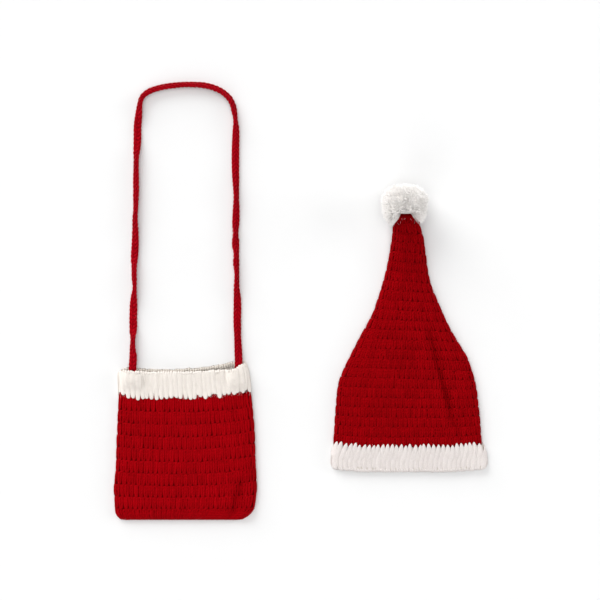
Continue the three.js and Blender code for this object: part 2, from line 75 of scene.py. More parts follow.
# %% [markdown]
# ## Reading tables
#
# Outlines are short tables with named columns. Between two rows a cubic runs with the slope of the
# rows on either side, so an outline has only the rows that its shape needs and still runs smooth.


# %% Tables
def table(columns, *rows):
    """Rows of numbers as a dict with an array for each named column."""
    return dict(zip(columns.split(), np.array(rows, float).T))


def read(rows, column, at, key="h"):
    """A column at `at` in its key column: v0 + (v1 - v0) * ease + the slopes' share, per span.

    ease is 3t^2 - 2t^3, and each end's slope is that between its two neighbours.
    """
    keys, values = rows[key], rows[column]
    at = np.clip(at, keys[0], keys[-1])
    i = np.clip(np.searchsorted(keys, at, side="right") - 1, 0, len(keys) - 2)
    before, after = np.maximum(i - 1, 0), np.minimum(i + 2, len(keys) - 1)
    span = keys[i + 1] - keys[i]
    start = (values[i + 1] - values[before]) / (keys[i + 1] - keys[before]) * span
    end = (values[after] - values[i]) / (keys[after] - keys[i]) * span
    t = (at - keys[i]) / span
    rise = (values[i + 1] - values[i]) * t * t * (3 - 2 * t)
    return values[i] + rise + start * t * (1 - t) ** 2 - end * t * t * (1 - t)


def smoothstep(x, low, high):
    """0 up to low, 1 from high on, and 3t^2 - 2t^3 between."""
    t = np.clip((x - low) / (high - low), 0, 1)
    return t * t * (3 - 2 * t)


def unit(vectors):
    """Vectors divided by their length."""
    return vectors / np.maximum(np.linalg.norm(vectors, axis=-1, keepdims=True), 1e-9)


# %% [markdown]
# ## Outlines
#
# Each garment has its own frame: x across from its middle and h up from its lower edge. The pouch
# sags a little in the middle, and its mouth shows the back edge above the front one. The hat is a
# wide tube below that narrows in a soft bottle shape to its tip.

# %% Outline tables
POUCH_SIDES = table(
    "h left right",
    (0, -65.5, 57.5), (1.3, -70.4, 62), (4, -74.4, 67.2), (7.5, -76.8, 72.2),
    (12, -77.6, 75.6), (20, -77.8, 77.2), (34, -78.6, 78.7), (62, -76.6, 77.6),
    (96, -75.4, 76.4), (118, -74.3, 74.8), (136, -73.2, 72.6), (150, -72.8, 71),
    (163, -72.9, 69), (174, -71, 66),
)
POUCH_MOUTH = table(
    "across front back",
    (0, 162.4, 163), (0.05, 164, 166.4), (0.15, 162.8, 166),
    (0.35, 162.6, 164.6), (0.6, 162.9, 166.4), (0.8, 164.4, 170.2),
    (0.9, 165.4, 172.8), (0.97, 171.6, 173.6), (1, 171, 171),
)
HAT_SIDES = table(
    "h left right",
    (0, -78.6, 79.4), (1.6, -82.4, 83.2), (5.5, -84.6, 84.9), (14, -84.9, 84.9),
    (23, -84, 84.2), (32, -83.2, 80.6), (62, -81, 77.8), (84, -79.6, 75.4),
    (98, -77.2, 73), (110, -72.8, 69.6), (124, -65.8, 64.6), (148, -53.6, 50.4),
    (162, -45.8, 42.6), (176, -38.8, 36.4), (190, -34.2, 30.4), (204, -29.6, 24.8),
    (220, -25.4, 21), (240, -21.6, 18.2), (256, -19.2, 15.6), (268, -18.3, 12.2),
    (275, -17.8, 11.4), (280.2, -16.2, 9), (282.6, -12.6, 5),
)
# How much longer the white strands are than their row, across the pouch. Below 0 they are shorter.
POUCH_TEETH = table(
    "across drop",
    (0, -2.6), (0.12, 0.8), (0.27, 1.8), (0.36, -0.4), (0.5, -1),
    (0.64, 1), (0.74, -2.6), (0.86, -3.6), (1, -4),
)
# Soft troughs in the front, and ridges of negative depth beside them. Each lies along a slanted
# line, and `lean` is its run in x per h.
POUCH_FOLDS = table(
    "x h reach width lean depth",
    (57, 20, 26, 4.4, 0.2, 5),
    (69, 17, 22, 4, 0.15, -0.8),
    (-40, 70, 50, 14, 0.3, 0.5),
)
HAT_FOLDS = table(
    "x h reach width lean depth",
    (36, 104, 52, 4.2, -0.26, 4.6),
    (42.5, 100, 46, 4, -0.26, -0.8),
    (52, 126, 16, 4, -0.1, 1.0),
    (3, 108, 30, 8, -0.1, 1.2),
)
print("pouch", np.ptp(POUCH_SIDES["h"]), "mm high, hat", np.ptp(HAT_SIDES["h"]), "mm high")

# %% [markdown]
# ## A tube of cloth that lies flat
#
# Both garments are worked in the round. `turn` runs once round the tube: 0 to 1 over the front from
# left to right, 1 to 2 over the back from right to left. `level` counts up the rows. A place on the
# tube is found from these two, and yarn is then laid `out` millimetres outside it. The tube's core
# lies a strand's thickness inside the outline, so that the finished stitches end on the outline.

# %% Flat tube
FLOOR_GAP = 2.7  # height of the front layer's inner side
FOLD_HEIGHT = 2.55  # height at which front and back turn into each other
FRONT_CORE = 4.3
BACK_CORE = 1.3
EDGE_ROUND = 4.5
EDGE_ARC = 1.28  # length of the rounded quarter, per unit of EDGE_ROUND
CORE_INSET = 1.8
WALL = 1.2  # thickness of the core
SINK = 1.0  # how far a trough may dip into the space between front and back
NARROW_EDGE = 0.3  # an edge's radius where the tube is narrow, as a share of its width
HALFWAY = 100  # a closed end lower than this faces down, and a higher one up
FRONT, BACK = 0, 1


def low_corner(node):
    """A node's lowest corner, in millimetres."""
    return np.array(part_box(node)[0]) / MM


def fold_depth(folds, x, h):
    """Sum of the troughs' depths: a bell across each line, which fades out along it."""
    x, h = np.asarray(x)[..., None], np.asarray(h)[..., None]
    along = (h - folds["h"]) / folds["reach"]
    across = (x - folds["x"] - folds["lean"] * (h - folds["h"])) / folds["width"]
    return (folds["depth"] * np.exp(-(across**2) - along**4)).sum(-1)


class FlatTube:
    """A tube of crochet that lies flat, with its rows' heights and its front layer's swell."""

    def __init__(self, sides, x, y, low_end=None, high_end=None):
        self.sides, self.x, self.y = sides, x, y
        self.low_end, self.high_end = low_end, high_end  # heights of its closed ends, if any

    def height(self, share, level, back):
        return level

    def swell(self, share, x, h):
        return np.zeros_like(h)

    def lift(self, h):
        return np.zeros_like(h)

    def around(self, h):
        """Length of one layer across, with its two rounded edges, and the edges' radius."""
        left = read(self.sides, "left", h) + CORE_INSET
        right = read(self.sides, "right", h) - CORE_INSET
        radius = np.minimum(EDGE_ROUND, NARROW_EDGE * (right - left))
        return right - left + 2 * (EDGE_ARC - 1) * radius, radius, left, right

    def end_angle(self, h):
        """0 on a closed end and a quarter turn from EDGE_ROUND inwards."""
        near = np.full_like(h, EDGE_ROUND)
        if self.low_end is not None:
            near = np.minimum(near, h - self.low_end - CORE_INSET)
        if self.high_end is not None:
            near = np.minimum(near, self.high_end - CORE_INSET - h)
        return np.arccos(1 - np.clip(near / EDGE_ROUND, 0, 1))

    def place(self, turn, level, out):
        """Points and outward directions at turn, level and out, as arrays [..., xyz].

        Across the layer the section is a quarter ellipse, a straight run and a quarter ellipse.
        A point is fold height + core height * sin(edge angle) * sin(end angle), moved out.
        """
        turn, level, out = np.broadcast_arrays(np.mod(turn, 2), level, out)
        back = turn > 1
        share = np.where(back, 2 - turn, turn)
        h = self.height(share, level, back)
        if self.low_end is not None:
            h = np.maximum(h, self.low_end + CORE_INSET)
        if self.high_end is not None:
            h = np.minimum(h, self.high_end - CORE_INSET)
        length, radius, left, right = self.around(h)
        near = np.minimum(share, 1 - share) * length
        edge = np.clip(near / (EDGE_ARC * radius), 0, 1) * np.pi / 2
        inward = radius * (1 - np.cos(edge)) + np.maximum(near - EDGE_ARC * radius, 0)
        x = np.where(share < 0.5, left + inward, right - inward)
        end = self.end_angle(h)
        front_core = FRONT_CORE - FOLD_HEIGHT + self.swell(share, x, h)
        core = np.where(back, BACK_CORE - FOLD_HEIGHT, front_core)
        z = FOLD_HEIGHT + core * np.sin(edge) * np.sin(end) + self.lift(h)
        steep = np.abs(core) / EDGE_ROUND
        sideways = np.where(share < 0.5, -1, 1) * np.cos(edge) * steep
        to_end = np.where(h < HALFWAY, -1, 1) * np.cos(end) * steep
        upwards = np.sin(edge) * np.sin(end) * np.where(back, -1, 1)
        facing = unit(np.stack([sideways, to_end, upwards], -1))
        points = np.stack([self.x + x, self.y + h, z], -1)
        return points + facing * out[..., None], facing


# %% [markdown]
# ## The two garments
#
# The pouch's rows sag in the middle and turn up on the right, and its mouth rises over the two ends
# of the strap. The hat's rows slant down to the right, and its tip rises on to the pompom.

# %% Pouch and hat
POUCH_ROWS = 10
POUCH_PITCH = 13.5
POUCH_RED = POUCH_ROWS * POUCH_PITCH
POUCH_SAG = 12  # the rows' dip, per share * (1 - share)
TURN_UP = 4  # how far the rows rise at the right edge
SAG_LOSS = 0.45  # how much of the sag is gone at the top
BAND_HEIGHT = 28
POUCH_SWELL = 3.6
STRAP_ENDS = (-183.8, -67.6)
TUCK_RISE = 3.9  # how far the mouth rises over the strap's ends
TUCK_HALF = 5.4  # the rise is full up to here, off a strap's middle, and gone at the next
TUCK_FADE = 13
HAT_ROWS = 24
BRIM_HEIGHT = 27.5
HAT_TIP = HAT_SIDES["h"][-1]
HAT_PITCH = (HAT_TIP - BRIM_HEIGHT) / HAT_ROWS
HAT_SLANT = 2  # how far the rows lie above their level at the left, and below it at the right
HAT_SWELL = 3.8
BRIM_BOW = 3.4  # how much higher the hem lies at the sides than in the middle
TIP_ARCH = 4.2  # how much lower the tip's sides end than its middle
TIP_RISE = 11
# Spans of level or height over which a shape grows or fades.
SAG_GROWS, SAG_FADES = (0, 60), (90, 160)
POUCH_SWELLS, TUCK_GROWS = (0, 20), (141, 152)
BOW_FADES, ARCH_GROWS = (24, 110), (256, HAT_TIP)
SLANT_GROWS, SLANT_FADES = (30, 110), (245, 272)
HAT_SWELLS, HAT_FLATTENS, TIP_GROWS = (0, 50), (230, 280), (214, 286)


class Pouch(FlatTube):
    """The pouch: levels 0 to POUCH_RED are red, and the band's levels end on the mouth."""

    def height(self, share, level, back):
        """Red: level + sag. Band: from the red's top to the mouth, by its share of the band."""
        red = np.minimum(level, POUCH_RED)
        sag = -POUCH_SAG * share * (1 - share) + TURN_UP * share**4
        line = sag * smoothstep(red, *SAG_GROWS) * (1 - SAG_LOSS * smoothstep(red, *SAG_FADES))
        front = read(POUCH_MOUTH, "front", share, "across")
        mouth = np.where(back, read(POUCH_MOUTH, "back", share, "across"), front)
        band = np.maximum(level - POUCH_RED, 0) / BAND_HEIGHT
        return red + line + band * (mouth - POUCH_RED - line)

    def swell(self, share, x, h):
        """A low swell less its troughs, and a hump over each end of the strap."""
        swell = POUCH_SWELL * (1 - (2 * share - 1) ** 4) * smoothstep(h, *POUCH_SWELLS)
        swell = np.maximum(swell - fold_depth(POUCH_FOLDS, x, h), -SINK)
        for end in STRAP_ENDS:
            beside = smoothstep(np.abs(self.x + x - end), TUCK_HALF, TUCK_FADE)
            swell = swell + TUCK_RISE * smoothstep(h, *TUCK_GROWS) * (1 - beside)
        return swell


class Hat(FlatTube):
    """The hat: levels 0 to BRIM_HEIGHT are white and those above it red, up to the tip."""

    def height(self, share, level, back):
        """Level + the hem's bow, which fades above the brim, + the rows' slant - the tip's arch."""
        bow = BRIM_BOW * (2 * share - 1) ** 4 * (1 - smoothstep(level, *BOW_FADES))
        slant = HAT_SLANT * (1 - 2 * share) * smoothstep(level, *SLANT_GROWS)
        arch = TIP_ARCH * (2 * share - 1) ** 2 * smoothstep(level, *ARCH_GROWS)
        return level + bow + slant * (1 - smoothstep(level, *SLANT_FADES)) - arch

    def swell(self, share, x, h):
        swell = HAT_SWELL * (1 - (2 * share - 1) ** 4) * smoothstep(h, *HAT_SWELLS)
        swell = np.maximum(swell - fold_depth(HAT_FOLDS, x, h), -SINK)
        return swell * (1 - smoothstep(h, *HAT_FLATTENS))

    def lift(self, h):
        return TIP_RISE * smoothstep(h, *TIP_GROWS)


pouch_low = low_corner("bag_front")
brim_low = low_corner("hat_band_front")
pouch = Pouch(POUCH_SIDES, pouch_low[0] - POUCH_SIDES["left"].min(), pouch_low[1], low_end=0)
hat = Hat(HAT_SIDES, brim_low[0] - HAT_SIDES["left"].min(), brim_low[1], high_end=HAT_TIP)
print("pouch's middle", round(pouch.x, 2), "and hat's middle", round(hat.x, 2), "mm")

# %% [markdown]
# ## Yarn as tubes
#
# One function lays many closed tubes at once. Each tube has a line of centres, and its section is
# an ellipse that lies flat on the cloth. The UV map counts millimetres along the strand and one
# turn round it, which the yarn's twist follows later.


# %% Tubes and meshes
def tubes(centres, outs, wide, thin, sides=6, shade=None):
    """Closed tubes along centres [tube, ring, xyz]: centre + side*wide*cos + out*thin*sin.

    side is along x out, and wide and thin are half sizes per tube and ring.
    """
    along = unit(np.gradient(centres, axis=1))
    side = unit(np.cross(along, outs))
    out = np.cross(side, along)
    angle = np.arange(sides) * 2 * np.pi / sides
    across = np.cos(angle)[:, None] * (side * wide[..., None])[:, :, None]
    upward = np.sin(angle)[:, None] * (out * thin[..., None])[:, :, None]
    points = centres[:, :, None] + across + upward
    count, rings = centres.shape[:2]
    index = np.arange(count * rings * sides).reshape(count, rings, sides)
    low, high = index[:, :-1], index[:, 1:]
    quads = np.stack([low, high, np.roll(high, -1, 2), np.roll(low, -1, 2)], -1)
    caps = np.concatenate([index[:, 0], index[:, -1, ::-1]])
    steps = np.linalg.norm(np.diff(centres, axis=1), axis=-1)
    run = np.concatenate([np.zeros((count, 1)), np.cumsum(steps, 1)], 1)[..., None]
    turn = np.arange(sides + 1) / sides
    corners = [(run[:, :-1], turn[:-1]), (run[:, 1:], turn[:-1]),
               (run[:, 1:], turn[1:]), (run[:, :-1], turn[1:])]
    uv = np.stack([np.stack(np.broadcast_arrays(u, v), -1) for u, v in corners], 3)
    shade = np.full(count, 0.5) if shade is None else shade
    return {
        "points": points.reshape(-1, 3),
        "faces": [quads.reshape(-1, 4), caps],
        "uv": [uv.reshape(-1, 2), np.zeros((caps.size, 2))],
        "shade": np.repeat(shade, rings * sides),
    }


PRESS = 1.2  # the most that anything lies below the back's core


def press(points):
    """Points flattened on to the table: core - press * tanh((core - z) / press) below the core."""
    z = points[:, 2]
    flat = BACK_CORE - PRESS * np.tanh((BACK_CORE - z) / PRESS)
    points[:, 2] = np.where(z < BACK_CORE, flat, z)
    return points


triangle_count = {}


def piece(name, parts, finish):
    """One smooth mesh object from parts of points, faces, uv and shade, riding on the set."""
    offsets = np.cumsum([0] + [len(part["points"]) for part in parts])
    points = press(np.concatenate([part["points"] for part in parts]))
    faces = [face + start for part, start in zip(parts, offsets) for face in part["faces"]]
    sizes = np.concatenate([np.full(len(face), face.shape[1]) for face in faces])
    mesh = bpy.data.meshes.new(name)
    mesh.vertices.add(len(points))
    mesh.vertices.foreach_set("co", (points * MM).ravel())
    mesh.loops.add(sizes.sum())
    mesh.loops.foreach_set("vertex_index", np.concatenate([face.ravel() for face in faces]))
    mesh.polygons.add(len(sizes))
    mesh.polygons.foreach_set("loop_start", np.cumsum(sizes) - sizes)
    mesh.update(calc_edges=True)
    uv = np.concatenate([corners for part in parts for corners in part["uv"]])
    mesh.uv_layers.new(name="yarn").data.foreach_set("uv", uv.astype(np.float32).ravel())
    shade = mesh.attributes.new("shade", "FLOAT", "POINT")
    values = np.concatenate([part["shade"] for part in parts])
    shade.data.foreach_set("value", values.astype(np.float32))
    mesh.shade_smooth()
    mesh.materials.append(finish)
    made = bpy.data.objects.new(name, mesh)
    bpy.context.scene.collection.objects.link(made)
    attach(made, "root")
    triangle_count[name] = int((sizes - 2).sum())
    print(name, triangle_count[name], "triangles")
    return made


# %% [markdown]
# ## Shader maths in Python
#
# A material is a small graph of nodes. Writing it as Python expressions keeps it readable: a value
# wraps a socket, and an expression on values adds the Math nodes that it needs.


# %% Shader values
class Value:
    """A node's output. Arithmetic on it adds Math nodes to its tree."""

    def __init__(self, finish, socket):
        self.finish, self.socket = finish, socket

    def math(self, operation, *inputs):
        return self.finish.node("Math", {"operation": operation}, dict(enumerate(inputs)))

    def __add__(self, other):
        return self.math("ADD", self, other)

    def __sub__(self, other):
        return self.math("SUBTRACT", self, other)

    def __rsub__(self, other):
        return self.math("SUBTRACT", other, self)

    def __mul__(self, other):
        return self.math("MULTIPLY", self, other)

    __radd__, __rmul__ = __add__, __mul__

    def lobes(self):
        """|sin(pi * value)|: a rounded lobe for each whole number, with a crease between two."""
        return self.math("ABSOLUTE", self.math("SINE", self * np.pi))


class Finish:
    """A material on its way: a Principled shader, and nodes that feed it."""

    def __init__(self, name, **constants):
        self.material = bpy.data.materials.new(name)
        self.material.use_nodes = True
        self.tree = self.material.node_tree
        self.tree.nodes.clear()
        self.shader = self.tree.nodes.new("ShaderNodeBsdfPrincipled")
        output = self.tree.nodes.new("ShaderNodeOutputMaterial")
        self.tree.links.new(self.shader.outputs[0], output.inputs["Surface"])
        for socket, constant in constants.items():
            self.feed(self.shader, socket.replace("_", " "), constant)

    def feed(self, node, socket, value):
        """Sets a socket to a constant, or links a value to it."""
        if isinstance(value, Value):
            self.tree.links.new(value.socket, node.inputs[socket])
        else:
            node.inputs[socket].default_value = value

    def node(self, kind, settings=None, inputs=None, output=0):
        """Any node: its settings first, then its sockets. Returns one of its outputs."""
        node = self.tree.nodes.new("ShaderNode" + kind)
        for name, setting in (settings or {}).items():
            setattr(node, name, setting)
        for socket, value in (inputs or {}).items():
            self.feed(node, socket, value)
        return Value(self, node.outputs[output])

    def noise(self, scale, detail=2.0, where=None):
        """Noise from 0 to 1, over Object coordinates or another place."""
        where = where or self.node("TexCoord", output="Object")
        inputs = {"Vector": where, "Scale": scale, "Detail": detail}
        return self.node("TexNoise", None, inputs, "Fac")

    def mix(self, share, first, second):
        """A colour between two colours."""
        settings = {"data_type": "RGBA"}
        return self.node("Mix", settings, {"Factor": share, 6: first, 7: second}, 2)


# %% [markdown]
# ## Yarn
#
# Wool has no gloss of its own. What the eye sees is plies that wind round each other with a crease
# between two, fibres that run along each ply, a nap that catches light at the rim, and dye that
# took a little unevenly. Plies and fibres are worked out from the UV map, which counts millimetres
# along the strand and turns round it. Loose hairs are paler than the yarn, as light shines through.

# %% Yarn finishes
PLIES = 3
PLY_LENGTH = 3.4  # millimetres of yarn between two plies, along one side
PLY_RELIEF = 0.0006  # metres from a ply's top to the crease beside it
FIBRE_DEPTH = 0.0008  # metres that light travels inside a tuft
FELT_SCALE, DYE_SCALE = 650.0, 38.0  # specks of felt and clouds of dye, per metre
# Brushed yarn: little painted shade in its creases, flat plies and a softer relief.
BRUSHED_YARN = {"crease": 0.04, "ridge": 0.15, "bump": 0.6}
PALE_HAIR = {"bump": 0, "through": 0.7}


def yarn(name, dark, light, gloss=0.02, nap=0.15, bump=0.9, crease=0.25, ridge=0.7, through=0.0):
    """A twisted yarn: colour from dark to light by strand, ply, fibre, felt and dye.

    `gloss`, `nap` and `bump` are its shine, its soft rim and its relief. `crease` is painted
    shade: how much darker the colour is between two plies, where shade falls. `ridge` is how much
    higher a ply's middle is, and `through` is the share of light that passes through its fibres.
    """
    finish = Finish(
        name,
        Roughness=0.92 - gloss,
        Specular_IOR_Level=0.08 + gloss,
        Specular_Tint=(*light, 1),
        Sheen_Weight=nap,
        Sheen_Roughness=0.5,
        Sheen_Tint=(*light, 1),
        Subsurface_Weight=through,
        Subsurface_Radius=(1, 1, 1),
        Subsurface_Scale=FIBRE_DEPTH,
    )
    uv = finish.node("UVMap", {"uv_map": "yarn"})
    split = {"Vector": uv}
    along, around = (finish.node("SeparateXYZ", None, split, axis) for axis in ("X", "Y"))
    strand = finish.node("Attribute", {"attribute_name": "shade"}, None, "Fac")
    twist = PLIES * around + (1 / PLY_LENGTH) * along
    ply = twist.lobes()
    fibre_place = finish.node("CombineXYZ", None, {"X": 0.5 * along, "Y": 6 * twist})
    fibre = finish.noise(1.0, 3.0, fibre_place)
    felt = finish.noise(FELT_SCALE)
    dye = finish.noise(DYE_SCALE)
    # Painted shade: crease * ply makes the colour darker in the creases between plies.
    tone = 0.25 * strand + crease * ply + 0.45 * fibre + 0.7 * felt + 0.3 * dye - 0.56
    finish.feed(finish.shader, "Base Color", finish.mix(tone, (*dark, 1), (*light, 1)))
    if bump:
        height = ridge * ply + 0.5 * fibre + 0.3 * felt
        relief = {"Height": height, "Strength": bump, "Distance": PLY_RELIEF}
        finish.feed(finish.shader, "Normal", finish.node("Bump", None, relief, "Normal"))
    return finish.material


pouch_yarn = yarn("pouch yarn", (0.2, 0.0006, 0.002), (0.44, 0.0012, 0.0048))
hat_yarn = yarn("hat yarn", (0.155, 0.0004, 0.0015), (0.37, 0.001, 0.0036))
strap_yarn = yarn("strap yarn", (0.28, 0.001, 0.005), (0.54, 0.003, 0.012), gloss=0.12, nap=0.1)
# Painted shade: a darker red for the core, which shows only in the chinks between strands.
red_painted_shade = yarn("red yarn with painted shade", (0.08, 0.0003, 0.001), (0.22, 0.0008, 0.0026))
red_hair = yarn("red hair", (0.28, 0.001, 0.004), (0.5, 0.004, 0.01), bump=0)
white_yarn = yarn("white yarn", (0.72, 0.67, 0.62), (0.81, 0.76, 0.71), **BRUSHED_YARN)
white_hair = yarn("white hair", (0.8, 0.76, 0.72), (0.9, 0.86, 0.82), **PALE_HAIR)
brim_yarn = yarn("brim yarn", (0.68, 0.625, 0.605), (0.77, 0.725, 0.705), **BRUSHED_YARN)
# Painted shade: a greyer white for the cores and the back rim, which lie in shade.
white_painted_shade = yarn("white yarn with painted shade", (0.52, 0.47, 0.42), (0.72, 0.67, 0.6))
pompom_yarn = yarn("pompom yarn", (0.87, 0.835, 0.81), (0.96, 0.935, 0.91), bump=0, through=0.4)
pompom_hair = yarn("pompom hair", (0.88, 0.855, 0.835), (0.97, 0.95, 0.93), **PALE_HAIR)
print("finishes", [material.name for material in bpy.data.materials])

# %% [markdown]
# ## Tall stitches
#
# A tall stitch is a post of two strands that stand side by side, with a wrap that slants across its
# middle, and a loop that leans over the next stitch along the row's top. The posts start close
# together under the loops of the row below, so a small hole stays between two feet. Each strand is
# a short path in millimetres: across the stitch, up the row, out of the cloth, and half its width.
# The paths are the same for every stitch, and small shifts keep the rows from looking stamped.

# %% Stitch paths
STITCH_WIDTH = 5.2
STITCH_HEIGHT = 13.5


def path(across, up, out, wide):
    """A strand's path from its foot: a table over k = 0, 1, 2 ..."""
    return table("k across up out wide", *zip(range(len(up)), across, up, out, wide))


LEG_TOP = 12.6
leg = {
    "up": (-1.2, 0.9, 3.4, 7.0, 10.2, LEG_TOP),
    "out": (0.5, 0.9, 0.95, 1.0, 1.0, 0.85),
    "wide": (0.95, 1.28, 1.42, 1.56, 1.52, 1.22),
}
STRANDS = {
    "left leg": path(across=(-0.3, -0.8, -1.25, -1.32, -1.3, -1.2), **leg),
    "right leg": path(across=(0.4, 0.9, 1.3, 1.36, 1.36, 1.3), **leg),
    "wrap": path(
        across=(-2.3, -0.8, 0.9, 2.3),
        up=(5.2, 6.8, 8.6, 10.2),
        out=(0.6, 1.2, 1.25, 0.6),
        wide=(0.5, 0.95, 0.95, 0.5),
    ),
    "top loop": path(
        across=(-2.9, -0.9, 1.0, 2.9),
        up=(11.8, 12.1, 12.6, 13.1),
        out=(0.75, 1.0, 1.0, 0.75),
        wide=(0.9, 1.15, 1.15, 0.9),
    ),
    "tongue": path(
        across=(0.1, 0.08, 0.04, -0.05, -0.1, 0, 0.1, 0, 0),
        up=(-1.0, -0.88, -0.55, 0.15, 1.6, 4.2, 8.5, 12.3, 13.6),
        out=(2.0, 2.05, 2.05, 1.95, 1.75, 1.3, 1.1, 0.9, 0.7),
        wide=(0.3, 1.05, 1.75, 2.3, 2.75, 3.6, 4.1, 3.9, 3.0),
    ),
    "leaf": path(
        across=(-0.6, -0.5, -0.3, -0.1, 0.2, 0.4, 0.6, 0.7, 0.75),
        up=(-0.3, 1.0, 4.5, 7.8, 9.8, 11.3, 12.5, 13.4, 14.1),
        out=(0.9, 1.15, 1.05, 1.2, 1.5, 1.75, 1.95, 2.1, 2.1),
        wide=(1.3, 2.6, 4.2, 3.8, 2.95, 2.3, 1.65, 1.0, 0.3),
    ),
    "rim loop": path(
        across=(-1.2, -0.6, 0.2, 0.8, 1.4),
        up=(-2.8, -0.3, 1.2, 0.4, -2.6),
        out=(0.7, 1.1, -0.1, -1.5, -1.7),
        wide=(0.5, 1.5, 1.5, 1.5, 0.5),
    ),
}
MOST_RINGS = {"wrap": 5, "top loop": 5}  # strands that need few rings
POST = ("left leg", "right leg", "wrap", "top loop")
FLATNESS = 0.6  # of the strands of a red stitch
BRUSHED = 0.25  # of the brushed white strands
PLAIN_ROW = {"below": 0, "above": 0, "swell": 1, "width": STITCH_WIDTH, "lean": 0, "mess": 1,
             "sunk": 0, "flatness": FLATNESS}
SHIFTS = (0.16, 0.3, 0.08, 0.35)  # spread of a strand's place across, up and out, and of its lean
END_REACH = 6  # how much of a strand's end moves when it is lengthened
TUFT_SHARES = (0.35, 1)  # how much of its row's lengthening a strand takes


def row_of(tube, level, pitch, phase=0.0, kinds=POST, **ways):
    """One row's stitches: where each one stands, and the row's sizes, as arrays.

    Ways: `below` and `above` lengthen the strands into the next colour, `swell` multiplies their
    width, `width` is the stitch's width and `lean` its run across, in millimetres, `mess`
    multiplies the shifts that set one stitch apart from the next, `sunk` is how much deeper the
    strands lie, and `flatness` is a strand's thickness off the cloth, per width.
    """
    ways = {**PLAIN_ROW, **ways}
    middle = np.array([level + pitch / 2])
    count = int(round(2 * tube.around(middle)[0][0] / ways["width"]))
    turn = np.mod((np.arange(count) + phase) * 2 / count, 2)
    place = {"turn": turn, "count": count, "step": 2 / count, "level": level, "pitch": pitch}
    return {**place, "kinds": kinds, **ways}


def stitches(tube, rows, chance, side=None, rings=7, sides=6):
    """Yarn of many rows: each strand's path, bent on to the tube and swept as closed tubes.

    `side` keeps the stitches of the front or of the back. A strand that is lengthened moves most
    at its end: by its share of `below` or `above`, times (1 - distance from its end / reach)^2.
    """
    parts = []
    for row in rows:
        kept = slice(None) if side is None else (row["turn"] > 1) == side
        for kind in row["kinds"]:
            shifts = chance.normal(0, SHIFTS, (row["count"], 4))[kept]
            shifts[:, [0, 1, 3]] *= row["mess"]
            tones = chance.uniform(0, 1, row["count"])[kept]
            tufts = chance.uniform(*TUFT_SHARES, (row["count"], 2))[kept]
            below = np.broadcast_to(row["below"], row["count"])[kept][:, None]
            strand = STRANDS[kind]
            count = min(rings, MOST_RINGS.get(kind, rings))
            at = np.linspace(0, strand["k"][-1], count)
            across, up, out, wide = (
                read(strand, column, at, "k") for column in ("across", "up", "out", "wide")
            )
            to_low = np.clip(1 - up / END_REACH, 0, 1) ** 2
            to_high = np.clip(1 - (LEG_TOP - up) / END_REACH, 0, 1) ** 2
            up = up - below * to_low * tufts[:, :1] + row["above"] * to_high * tufts[:, 1:]
            lean = (shifts[:, 3, None] + row["lean"]) * (up / STITCH_HEIGHT - 0.5)
            across = (across + shifts[:, 0, None] + lean) / STITCH_WIDTH * row["step"]
            level = row["level"] + (up + shifts[:, 1, None]) * row["pitch"] / STITCH_HEIGHT
            turn = row["turn"][kept][:, None] + across
            centres, outs = tube.place(turn, level, out - row["sunk"] + shifts[:, 2, None])
            wide = wide * row["swell"] * np.ones((len(turn), 1))
            thin = row["flatness"] * wide
            parts.append(tubes(centres, outs, wide, thin, sides, tones))
    return parts


print("a stitch is", " + ".join(POST))

# %% [markdown]
# ## The core of the cloth
#
# Behind the stitches lies a thin closed shell on the same tube. It closes the chinks between
# strands, as the stitches of the far layer do in real cloth. Its outer and inner sides are grids
# over turn and level, joined at their rims.


# %% Core shell
CORE_COLUMNS = 112
CORE_CLEAR = 0.1  # the inner sides of front and back stay this far from the fold's height
# Painted shade: the core's tone sits low, so it is darker than the strands round it.
CORE_PAINTED_SHADE = 0.15


def core(tube, levels, out=0.35):
    """A double-walled tube: outer grid at `out`, inner grid a WALL inside the tube, two rims."""
    turn, level = np.meshgrid(np.arange(CORE_COLUMNS) * 2 / CORE_COLUMNS, levels)
    outer, _ = tube.place(turn, level, out)
    inner, _ = tube.place(turn, level, -WALL)
    fold = FOLD_HEIGHT + tube.lift(inner[..., 1] - tube.y)
    lower = np.minimum(inner[..., 2], fold - CORE_CLEAR)
    inner[..., 2] = np.where(turn > 1, lower, np.maximum(inner[..., 2], fold + CORE_CLEAR))
    grids = np.stack([outer, inner])
    index = np.arange(grids[..., 0].size).reshape(grids.shape[:3])
    right = np.roll(index, -1, 2)
    skin = [index[0, :-1], right[0, :-1], right[0, 1:], index[0, 1:]]
    lining = [index[1, :-1], index[1, 1:], right[1, 1:], right[1, :-1]]
    top = [index[0, -1:], right[0, -1:], right[1, -1:], index[1, -1:]]
    foot = [index[0, :1], index[1, :1], right[1, :1], right[0, :1]]
    quads = np.concatenate([np.stack(f, -1).reshape(-1, 4) for f in (skin, lining, top, foot)])
    flat = grids.reshape(-1, 3)
    uv = np.stack([flat[quads, 1], flat[quads, 0] / STITCH_WIDTH], -1)
    return {"points": flat, "faces": [quads], "uv": [uv.reshape(-1, 2)],
            "shade": np.full(len(flat), CORE_PAINTED_SHADE)}


# %% [markdown]
# ## Loose fibres
#
# Every yarn sheds short hairs. They soften the outline, and on the white band they lie over the
# first red row. Each hair is a thin three-sided tube that leaves the cloth, arches and comes back.


